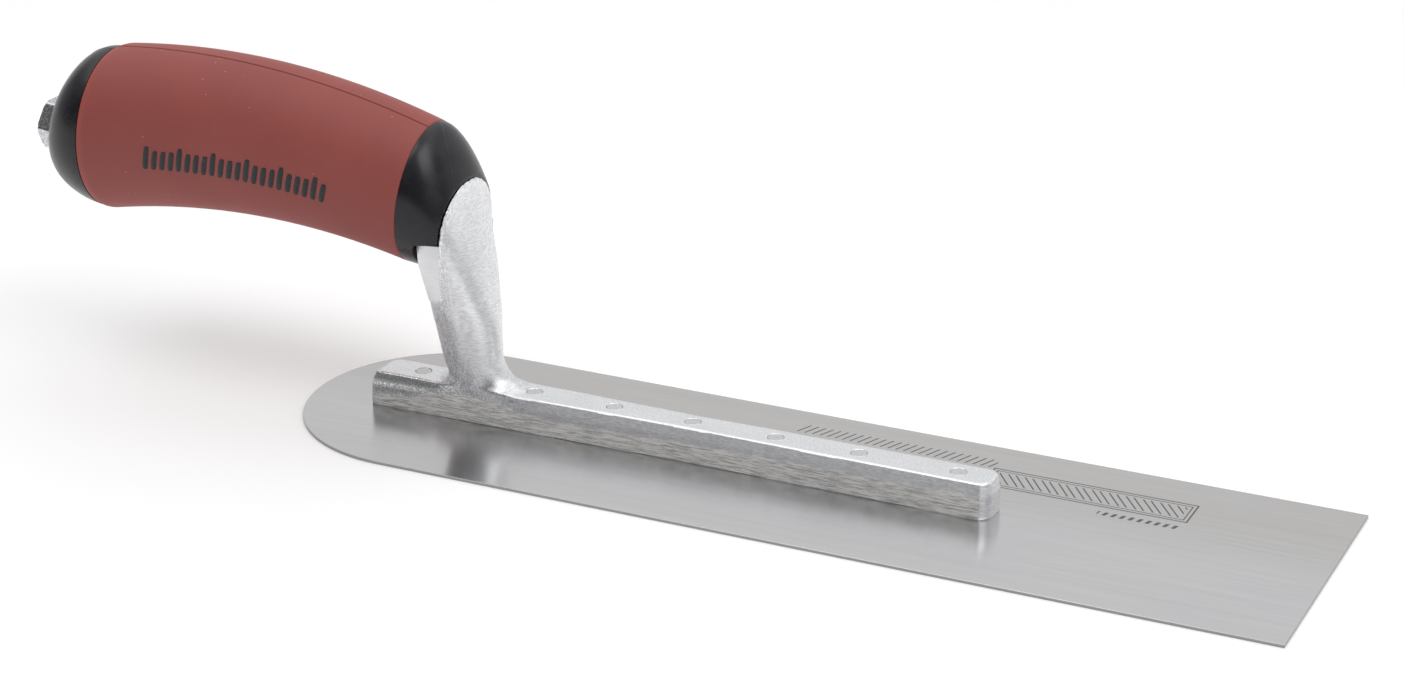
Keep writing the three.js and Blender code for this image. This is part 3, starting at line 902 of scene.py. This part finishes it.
def shank_field(p):
    """Distance outside the shank, whose level sections are rounded and domed at the top."""
    x, y, z = np.moveaxis(p, -1, 0)
    level = np.clip(z, SHANK_BASE["section"], SHANK_TOP)
    middle = JOINT[2] + JOINT_RISE
    rise_share = np.maximum(level - middle, 0) / JOINT_HALF_HEIGHT
    dome = np.sqrt(np.maximum(1 - rise_share ** 2, 0.001))
    half = smooth_profile(SHANK_HALF_WIDTH, np.minimum(level, middle)) * dome
    widest = smooth_profile(SHANK_WIDEST, level)
    front = smooth_profile(SHANK_FRONT, level) - widest
    rear = widest - smooth_profile(SHANK_REAR, level)
    power = smooth_profile(SHANK_SQUARENESS, level)
    dx = x - widest
    reach = np.where(dx > 0, front, rear)
    size = ((np.abs(dx) / reach) ** power + (np.abs(y) / half) ** power) ** (1 / power)
    size = np.maximum(size, 1e-3)
    radial = np.hypot(dx, y) * (1 - 1 / size)
    radial = np.where(size < 0.2, -np.minimum(reach, half), radial)
    return np.maximum(radial, np.maximum(z - SHANK_TOP, SHANK_BASE["root"] - z))


def pocket_field(p):
    """A little behind the cutter's path, so that the cut leaves a rounded-over edge."""
    local = to_handle(p)
    floor = (POCKET_FLOOR - JOINT[2]) / AHEAD[0]
    back = POCKET_ROUND["set_back"]
    return rounded_pair(local[..., 0] + back, floor + back - local[..., 2], POCKET_CORNER)


def shank_detail(p):
    """Shallow hollows and steps of the shank's cast and hand-finished skin."""
    x, y, z = np.moveaxis(p, -1, 0)
    rear_flank = -93.6 - 1.6 * smooth_step((z - 16) / 18)
    low = smooth_step((z - 13) / 3) * smooth_step((33 - z) / 3)
    groove = GROOVE["depth"] * bell(x - rear_flank, GROOVE["half_width"]) * low
    slanting_line = z - 33 - 0.55 * (x + 88)
    step = STEP_DEPTH * smooth_step(0.5 - slanting_line / 1.4) * smooth_step((z - 12) / 14)
    waves = np.sin(x * 0.9 + z * 0.31) * np.sin(z * 0.47 + 1) * np.cos(y * 0.5)
    return groove + step + WAVE_DEPTH * waves


def casting_field(p):
    """The bar and the shank, joined by a fillet that is small on the flanks, less the pocket."""
    shank = shank_field(p) + shank_detail(p)
    ahead = np.abs(p[..., 0] - SHANK_WIDEST[0][1])
    flare = ahead / (ahead + np.abs(p[..., 1]) + 0.5)
    body = soft_union(bar_field(p), shank, FILLET["flank"] + FILLET["ends"] * flare)
    return soft_cut(body, -pocket_field(p), POCKET_ROUND["radius"])


def key_skin():
    """The key across the casting, wider towards the collar, its rear set back from the notch."""
    back, front_top = KEY_TOP["back"], KEY_TOP["front"]
    drop = JOINT[2] - back
    top_x = JOINT[0] + (NOTCH_BACK + NOTCH_GAP) / AHEAD[0] - drop * math.tan(math.asin(-AHEAD[2]))
    front = JOINT[0] + KEY_FRONT
    rings = []
    for side in (-1, 1):
        low, high = side * KEY_HALF_WIDTH["foot"], side * KEY_HALF_WIDTH["top"]
        heel = low + (high - low) * (KEY_HEEL[1] - KEY_FOOT[1]) / (back - KEY_FOOT[1])
        rings.append([
            (KEY_FOOT[0], low, KEY_FOOT[1]), (KEY_HEEL[0], heel, KEY_HEEL[1]),
            (top_x, high, back), (front, high, front_top), (front, low, KEY_FOOT[1]),
        ])
    return skin(rings)


def pocket_skin():
    """The volume the pocket's cutter sweeps, with its rounded inner corner."""
    floor = (POCKET_FLOOR - JOINT[2]) / AHEAD[0]
    r = POCKET_CORNER
    outline = [(POCKET_OVERCUT, FAR), (-FAR, FAR), (-FAR, floor)]
    for angle in np.linspace(-np.pi / 2, 0, 9):
        outline.append((POCKET_OVERCUT - r + r * math.cos(angle), floor + r + r * math.sin(angle)))
    points, faces = extruded(outline)
    return from_handle(points), faces


def rivet_hole_skin():
    """A rivet's hole up through the bar, with a fine chamfer at the top."""
    hole, rim = RIVET_RADIUS + RIVET_GAP, RIVET_CHAMFER["radius"]
    return turned([(hole, -1), (hole, BAR_TOP - RIVET_CHAMFER["from"]),
                   (rim, BAR_TOP + RIVET_CHAMFER["past"]), (rim, BAR_TOP + 2)])


def bolt_hole_skin():
    radius = BOLT_RADIUS + 0.05
    points, faces = turned_on_axis([(radius, -20), (radius, BOLT_REACH + 0.05)])
    return from_handle(points), faces


def soften_edges(made, width):
    """Rounds an object's sharp edges."""
    bevel = made.modifiers.new("bevel", "BEVEL")
    bevel.width = width * MM
    bevel.segments = 2
    bevel.limit_method = "ANGLE"
    bevel.angle_limit = math.radians(25)
    return apply_modifiers(made)


def finish_shares(p, n):
    """How far each finish, the painted glints and the painted shade on the rear flank cover a spot of
    the casting, from its place and its normal.
    """
    x, y, z = p.T
    behind = to_handle(p)[:, 0]
    over_line = z - sanded_top(x)
    side = smooth_step((np.abs(n[:, 1]) - 0.92) / 0.06)
    rear_end = smooth_step((-n[:, 0] - 0.9) / 0.1) * (z < 9) * (z > 1)
    milled = 1.0 * (behind < 0.06) * (z > POCKET_FLOOR - 0.3)
    sanded = np.maximum(side * smooth_step((0.15 - over_line) / 0.3 + 0.5), rear_end)
    shank = smooth_step((z - 15 + 0.5 * (x + 95)) / 9)
    # Painted shade: the brushed finish stops short of the shank's rear flank, leaving the darker cast
    # tone on the side turned from the light.
    rear_flank = smooth_step((-90.8 - x + 0.1 * np.abs(y)) / 3)
    on_top = (z > BAR_TOP - 0.3) * (z < BAR_TOP + 0.3)
    # Painted glints: the pocket's rim, and the cast shoulder and the sanded line at the rear, are kept
    # for white glint specks.
    pocket_rim = smooth_step((1.1 - behind) / 0.8) * (1 - milled) * (z > POCKET_FLOOR)
    shoulder = smooth_step(over_line / 1.5) * smooth_step((BAR_TOP - 0.06 - z) / 0.1)
    along_line = smooth_step(1 - np.abs(over_line) / 0.5) * side * 0.7
    at_rear = smooth_step((-84 - x) / 8 + 0.5)
    return {
        "sanded": sanded * (1 - milled),
        "milled": milled,
        "brushed": shank * (1 - 0.85 * rear_flank) * (1 - milled),
        "ground": smooth_step((n[:, 2] - 0.93) / 0.06) * on_top,
        "glint_edges": np.maximum(pocket_rim, np.maximum(shoulder, along_line) * at_rear),
    }


def paint_casting(casting):
    """Keeps the finishes and the painted glint areas at the casting's vertices, and the way its shine
    spreads there.
    """
    places, normals = vertex_data(casting)
    shares = finish_shares(places, normals)
    for name, values in shares.items():
        paint(casting, name, values)
    upright = np.clip(shares["sanded"] + shares["brushed"] + shares["milled"], 0, 1)[:, None]
    ground = shares["ground"][:, None]
    spread = np.array([1, 0, 0]) * (1 - upright) + np.array([0, 0, 1]) * upright
    spread = spread * (1 - ground) + np.array([0.8, 0.6, 0]) * ground
    layer = casting.data.attributes.new("spread", "FLOAT_VECTOR", "POINT")
    layer.data.foreach_set("vector", np.ascontiguousarray(spread.ravel(), dtype=np.float32))


def make_casting(look):
    """Bar, shank and key in one body, on a grid that is finest around the shank and at the tip."""
    fine, shank_rear, shank_front = 0.42, -104, -69
    floor, tip = BLADE_HIGH[2], BAR_HIGH[0] - 7
    xs = np.concatenate([
        np.arange(BAR_LOW[0] - 1, shank_rear, 0.6),
        np.arange(shank_rear, shank_front, fine),
        np.arange(shank_front, tip, 0.7),
        np.arange(tip, BAR_HIGH[0] + 1, 0.33),
    ])
    ys = np.arange(-14.9, 15, fine)
    zs = np.concatenate([[floor - 0.4], np.arange(floor + 0.1, SHANK_TOP + 1, fine)])
    casting = solid("casting", field_skin(casting_field, xs, ys, zs), look)
    cut(casting, look, pocket_skin())
    key = soften_edges(solid("key", key_skin(), look), KEY_BEVEL)
    combine(casting, key, "UNION")
    rivet_hole = rivet_hole_skin()
    cut(casting, look, *[placed_at(node, rivet_hole) for node in RIVETS], bolt_hole_skin())
    paint_casting(casting)
    return sharpen(casting, CRISP["casting"])


# ---- Handle ----

def along(pair, x):
    """A value that runs evenly from the rear seam to the front seam."""
    way = (x - REAR_SEAM) / (FRONT_SEAM - REAR_SEAM)
    return pair[0] + (pair[1] - pair[0]) * way


def rise(x):
    """How high the handle's bowed centre line runs."""
    return CROWN_RISE - BOW * (x - CROWN_X) ** 2


def ellipse(x, height, tall, wide, lean, angles):
    """A leaning ellipse. Angles run from the crest towards the near side (-y)."""
    u, v = tall * np.cos(angles), -wide * np.sin(angles)
    return np.stack([x + u * np.sin(lean), v, height + u * np.cos(lean)], -1)


def grip_ring(x, inwards, angles):
    """The handle's section at x, moved inwards."""
    tall = along(HALF_HEIGHT, x)
    wide = tall * WIDTH_RATIO
    return ellipse(x, rise(x), tall - inwards, wide - inwards, along(SECTION_LEAN, x), angles)


def ring_angles(step, near, spread):
    """Angles around a ring: closely spaced about zero, then the rest."""
    return np.concatenate([step * np.arange(-near, near + 1), spread])


CORE_ANGLES = ring_angles(0.008, 8, np.linspace(0.064, 2 * np.pi - 0.064, 178)[1:-1])
GRIP_ANGLES = ring_angles(0.0025, 16, np.linspace(0.06, 2 * np.pi - 0.06, 220))


def dome_rings(face, height, tall, wide, shape, seam, inset, steps, mould):
    """Rings that swell from an end face to the handle's section at a seam, with a mould line."""
    full = along(HALF_HEIGHT, seam)
    ridge = MOULD_RIDGE["height"] * bell(CORE_ANGLES * MOULD_RADIUS, MOULD_RIDGE["half_width"])
    rings = []
    for i in range(steps + 1):
        share = math.cos(i / steps * math.pi / 2)
        swell = (1 - share ** shape["power"]) ** (1 / shape["root"])
        proud = ridge * (0 < i < steps)
        rings.append(ellipse(
            seam + (face - seam) * share,
            height + (rise(seam) - height) * swell,
            tall + (full - inset - tall) * swell + proud,
            wide + (full * WIDTH_RATIO - inset - wide) * swell + proud,
            along(SECTION_LEAN, seam) * (1 - share),
            math.radians(mould(i / steps)) + CORE_ANGLES,
        ))
    return rings


def cap_mould(t):
    """The mould line's angle from the crest in degrees, from the cap's face (0) to its seam (1)."""
    return 2 + 2 * (1 - t)


def collar_mould(t):
    """The same on the collar."""
    return -8.5 + 62 * (1 - t) - 20 * (1 - t) ** 2


def neck_rings():
    """The core under the grip. Its points turn evenly from the cap's line to the collar's."""
    rings = []
    for x in np.linspace(REAR_SEAM, FRONT_SEAM, 30):
        turn = math.radians(along((cap_mould(1), collar_mould(1)), x))
        rings.append(grip_ring(x, GRIP_THICKNESS, turn + CORE_ANGLES))
    return rings


def notch_skin():
    """The notch for the key, open to the front and below."""
    slope = (NOTCH_ROOF[1] - NOTCH_ROOF[0]) / -NOTCH_BACK
    return extruded([
        (NOTCH_BACK, NOTCH_ROOF[0]), (NOTCH_BACK, -FAR), (FAR, -FAR),
        (FAR, NOTCH_ROOF[1] + slope * FAR),
    ])


def make_core(look):
    """Rear cap, core and front collar in one moulding."""
    cap = dome_rings(CAP_FACE, 0, CAP_FACE_RADIUS, CAP_FACE_RADIUS, CAP_DOME, REAR_SEAM,
                     GRIP_REAR_ROUND["depth"], 36, cap_mould)
    collar = dome_rings(COLLAR_FACE, JOINT_RISE, JOINT_HALF_HEIGHT + COLLAR_LIP,
                        JOINT_HALF_WIDTH + COLLAR_LIP, COLLAR_DOME, FRONT_SEAM, GRIP_GAP, 40,
                        collar_mould)
    rings = cap + neck_rings() + collar[::-1]
    core = solid("handle_moulding", skin(rings), look)
    cut(core, look, notch_skin())
    cut(core, look, turned_on_axis([(BORE_RADIUS, CAP_FACE - 5), (BORE_RADIUS, 5)]))
    return sharpen(place_in_handle(core), CRISP["core"])


def place_in_handle(made):
    """Moves a mesh from the handle's frame to the row's frame."""
    columns = np.stack([AHEAD, ACROSS, UPWARD, JOINT * MM], -1)
    made.data.transform(Matrix([*columns.tolist(), [0, 0, 0, 1]]))
    return made


def parting_angle(x):
    """Where the mould's parting line runs, on the near side of the crest."""
    return math.radians(10.3 - 7.5 * ((x + 30) / 73) ** 2)


def grip_stations(first, last):
    """Places along the grip, closer together where its ends are rounded."""
    rear, front = GRIP_REAR_ROUND["length"], GRIP_FRONT_ROUND["length"]
    return np.concatenate([
        first + rear * np.linspace(0, 1, 14),
        np.linspace(first + rear, last - front, 150)[1:],
        last - front * np.cos(np.linspace(0, np.pi / 2, 8))[1:],
    ])


def grip_tuck(x, first, last):
    """How far the grip's surface lies inside the handle's section, most at its rounded ends."""
    rear, front = GRIP_REAR_ROUND, GRIP_FRONT_ROUND
    start = 1 - np.clip((x - first) / rear["length"], 0, 1)
    end = np.clip((x - (last - front["length"])) / front["length"], 0, 1)
    tuck = GRIP_SINK + rear["depth"] * start ** 2 + rear["lip"] * start ** 8
    return tuck + front["depth"] * (1 - math.sqrt(max(1 - end ** 2, 0)))


def make_grip(look):
    """A hollow sleeve with a parting groove and a little flash along it."""
    first, last = REAR_SEAM + GRIP_GAP, FRONT_SEAM - GRIP_GAP
    across = GRIP_ANGLES * GRIP_RADIUS
    groove = PARTING_GROOVE["depth"] * bell(across, PARTING_GROOVE["half_width"])
    from_flash = across + PARTING_FLASH["offset"]
    flash = PARTING_FLASH["height"] * bell(from_flash, PARTING_FLASH["half_width"])
    stations = grip_stations(first, last)
    back = np.linspace(last, first, 40)
    rings = [
        grip_ring(x, grip_tuck(x, first, last) + groove - flash, parting_angle(x) + GRIP_ANGLES)
        for x in stations
    ]
    inside = GRIP_THICKNESS - GRIP_GAP
    rings += [grip_ring(x, inside, parting_angle(x) + GRIP_ANGLES) for x in back]
    grip = solid("grip_sleeve", skin(rings, loop=True), look)
    places = np.repeat(np.concatenate([stations, back]), len(GRIP_ANGLES))
    paint(grip, "seam", smooth_step(1 - (places - first) / 3.2))
    return sharpen(place_in_handle(grip), CRISP["grip"])


def mark_ring(start, turn, tall):
    """A ring across one bar of the row: its sides run into the rubber, its top stands proud."""
    along_bar = -math.copysign(abs(math.cos(turn)) ** 0.6, math.cos(turn)) / 2
    half = max(MARK_WIDTH / 2 * math.sin(turn) ** 0.35, 0.02)
    ring = []
    for across, lift in (
        (-half, -MARK_DEPTH), (-half, 0.0), (-half + 0.1, 0.06), (0, 0.07), (half - 0.1, 0.06),
        (half, 0.0), (half, -MARK_DEPTH),
    ):
        x = start + across + MARK_SLANT * along_bar
        angle = MARK_FOOT - tall * (0.5 + along_bar) / along(HALF_HEIGHT, x)
        ring.append(grip_ring(x, -lift, np.array([angle]))[0])
    return ring


def make_marks(look):
    """A generic row of slanted bars let into the grip's near side."""
    bars = []
    for i, start in enumerate(np.arange(MARK_ROW["from"], MARK_ROW["to"], MARK_ROW["pitch"])):
        tall = MARK_HEIGHT["plain" if i % TALL_MARK_EVERY else "tall"]
        bars.append(skin([mark_ring(start, turn, tall) for turn in np.linspace(0, np.pi, 25)]))
    marks = solid("grip_marks", merged(bars), look)
    return sharpen(place_in_handle(marks), CRISP["marks"])


def axis_ring(x, radius, angles):
    """A ring about the bolt's axis. Its radius may change with the angle."""
    return np.stack([np.full(len(angles), x), radius * np.sin(angles), radius * np.cos(angles)], -1)


def make_bolt(look):
    """A hex head with chamfered corners behind the washer, and a plain shank."""
    under = CAP_FACE - WASHER_THICKNESS - HEX_GAP
    rear = under - HEX_HEIGHT
    angles = full_turn(144)
    sector = np.mod(angles + np.pi / 6, np.pi / 3) - np.pi / 6
    corner = HEX_FLATS / 2 / math.cos(math.pi / 6)
    hexagon = np.minimum(HEX_FLATS / 2 / np.cos(sector), corner - HEX_CORNER_LOSS)
    rings = []
    for x, size, loss in (
        (rear, 0.02, 0), (rear, 0.6, 0), (rear, 0.97, 0.9), (rear + 0.1, 1, 0.62),
        (rear + 0.45, 1, 0.12), (rear + 0.7, 1, 0), (under - 0.35, 1, 0), (under - 0.1, 1, 0.1),
        (under, 0.98, 0.3),
    ):
        rings.append(axis_ring(x, np.minimum(hexagon, corner - loss) * size, angles))
    for x, radius in (
        (under, BOLT_RADIUS), (BOLT_REACH - BOLT_CHAMFER, BOLT_RADIUS),
        (BOLT_REACH, BOLT_RADIUS - BOLT_CHAMFER),
    ):
        rings.append(axis_ring(x, radius, angles))
    bolt = solid("bolt_hex", skin(rings), look)
    return sharpen(place_in_handle(bolt), CRISP["bolt"])


def make_washer(look):
    """A flat ring with softened edges."""
    rear, front = CAP_FACE - WASHER_THICKNESS, CAP_FACE - 0.05
    bore, r = BORE_RADIUS, WASHER_RADIUS
    angles = full_turn(96)
    rings = [axis_ring(x, radius, angles) for radius, x in (
        (bore, rear + 0.1), (bore + 0.15, rear), (r - 0.3, rear), (r - 0.08, rear + 0.1),
        (r, rear + 0.35), (r, front - 0.25), (r - 0.1, front), (bore + 0.1, front),
        (bore, front - 0.1),
    )]
    washer = solid("washer_ring", skin(rings, loop=True), look)
    return sharpen(place_in_handle(washer), CRISP["washer"])


# ---- Stage ----

def make_stage():
    look = Look("floor", 0.0)
    grain = look.noise(8, 2, 0.5)
    look.set("Base Color", look.mix(grain, (0.8, 0.8, 0.8), (0.84, 0.84, 0.84)))
    look.set("Roughness", 0.7)
    look.set("Emission Color", (1, 1, 1, 1))
    look.set("Emission Strength", FLOOR_GLOW)
    size = FLOOR_HALF_SIZE
    corners = [(-size, -size, 0), (size, -size, 0), (size, size, 0), (-size, size, 0)]
    make_object("floor", corners, [(0, 1, 2, 3)], look.material, smooth=False)


def make_world():
    """White above and behind the tool, a dim room around it, darkest on the camera's side."""
    world = bpy.data.worlds.new("studio")
    world.use_nodes = True
    sky = NodeTree(world.node_tree, "Generated")
    height = sky.axis(2)
    ramp = sky.add("ShaderNodeValToRGB", {0: height})
    stops = ramp.color_ramp.elements
    stops[0].position, stops[1].position = SKY[0][0], SKY[-1][0]
    for place, _ in SKY[1:-1]:
        stops.new(place)
    for stop, (_, level) in zip(stops, SKY):
        stop.color = (level, level, level, 1)
    overhead = sky.span(height, *OVERHEAD, ROOM, 1)
    backdrop = sky.span(sky.axis(1), *BACKDROP, ROOM, 1)
    directions = {0: sky.place, 1: Vector(DARK_SIDE).normalized()}
    towards = sky.add("ShaderNodeVectorMath", directions, operation="DOT_PRODUCT")
    screen = sky.span(towards.outputs["Value"], *DARK_SPREAD, 1, DARK_LEVEL)
    around = sky.math("MAXIMUM", overhead, backdrop)
    background = sky.tree.nodes["Background"]
    sky.feed(background.inputs["Color"], ramp.outputs[0])
    sky.feed(background.inputs["Strength"], sky.math("MULTIPLY", around, screen))
    bpy.context.scene.world = world


def make_light(name, place, power):
    lamp = bpy.data.lights.new(name, "AREA")
    lamp.shape = "RECTANGLE"
    lamp.size = LIGHT_SIZE
    lamp.size_y = LIGHT_SIZE
    lamp.energy = power
    made = bpy.data.objects.new(name, lamp)
    made.location = place
    aim = Vector(LIGHT_TARGET) - Vector(place)
    made.rotation_euler = aim.to_track_quat("-Z", "Y").to_euler()
    bpy.context.scene.collection.objects.link(made)


def make_camera():
    """A long lens, looking down from the front and the near side."""
    back = Vector((
        math.cos(ELEVATION) * math.sin(AZIMUTH),
        -math.cos(ELEVATION) * math.cos(AZIMUTH),
        math.sin(ELEVATION),
    ))
    camera = bpy.data.objects.new("camera", bpy.data.cameras.new("camera"))
    camera.data.sensor_width = SENSOR
    camera.data.lens = LENS
    camera.data.clip_start = 0.01
    camera.location = Vector(TARGET) + back * DISTANCE
    level = (-back).to_track_quat("-Z", "Y").to_matrix()
    camera.rotation_euler = (level @ Matrix.Rotation(ROLL, 3, "Z")).to_euler()
    bpy.context.scene.collection.objects.link(camera)
    bpy.context.scene.camera = camera


# ---- Build ----

def build():
    rivet, black = rivet_metal(), black_plastic()
    finish_piece(make_blade(blade_steel()), "blade_steel", "blade")
    finish_piece(make_casting(cast_aluminium()), "cast_aluminium", "mounting")
    for node in RIVETS:
        finish_piece(make_rivet(node, rivet), "rivet_metal", node)
    finish_piece(make_core(black), "black_plastic", "handle_core")
    finish_piece(make_grip(red_rubber()), "red_rubber", "grip")
    finish_piece(make_marks(black), "black_plastic")
    finish_piece(make_bolt(bolt_plating()), "plated_steel", "handle_bolt")
    finish_piece(make_washer(washer_plating()), "plated_steel", "washer")
    make_stage()
    make_world()
    for name, (place, power) in LIGHTS.items():
        make_light(name, place, power)
    make_camera()
    bpy.context.scene.view_settings.view_transform = "Standard"


build()
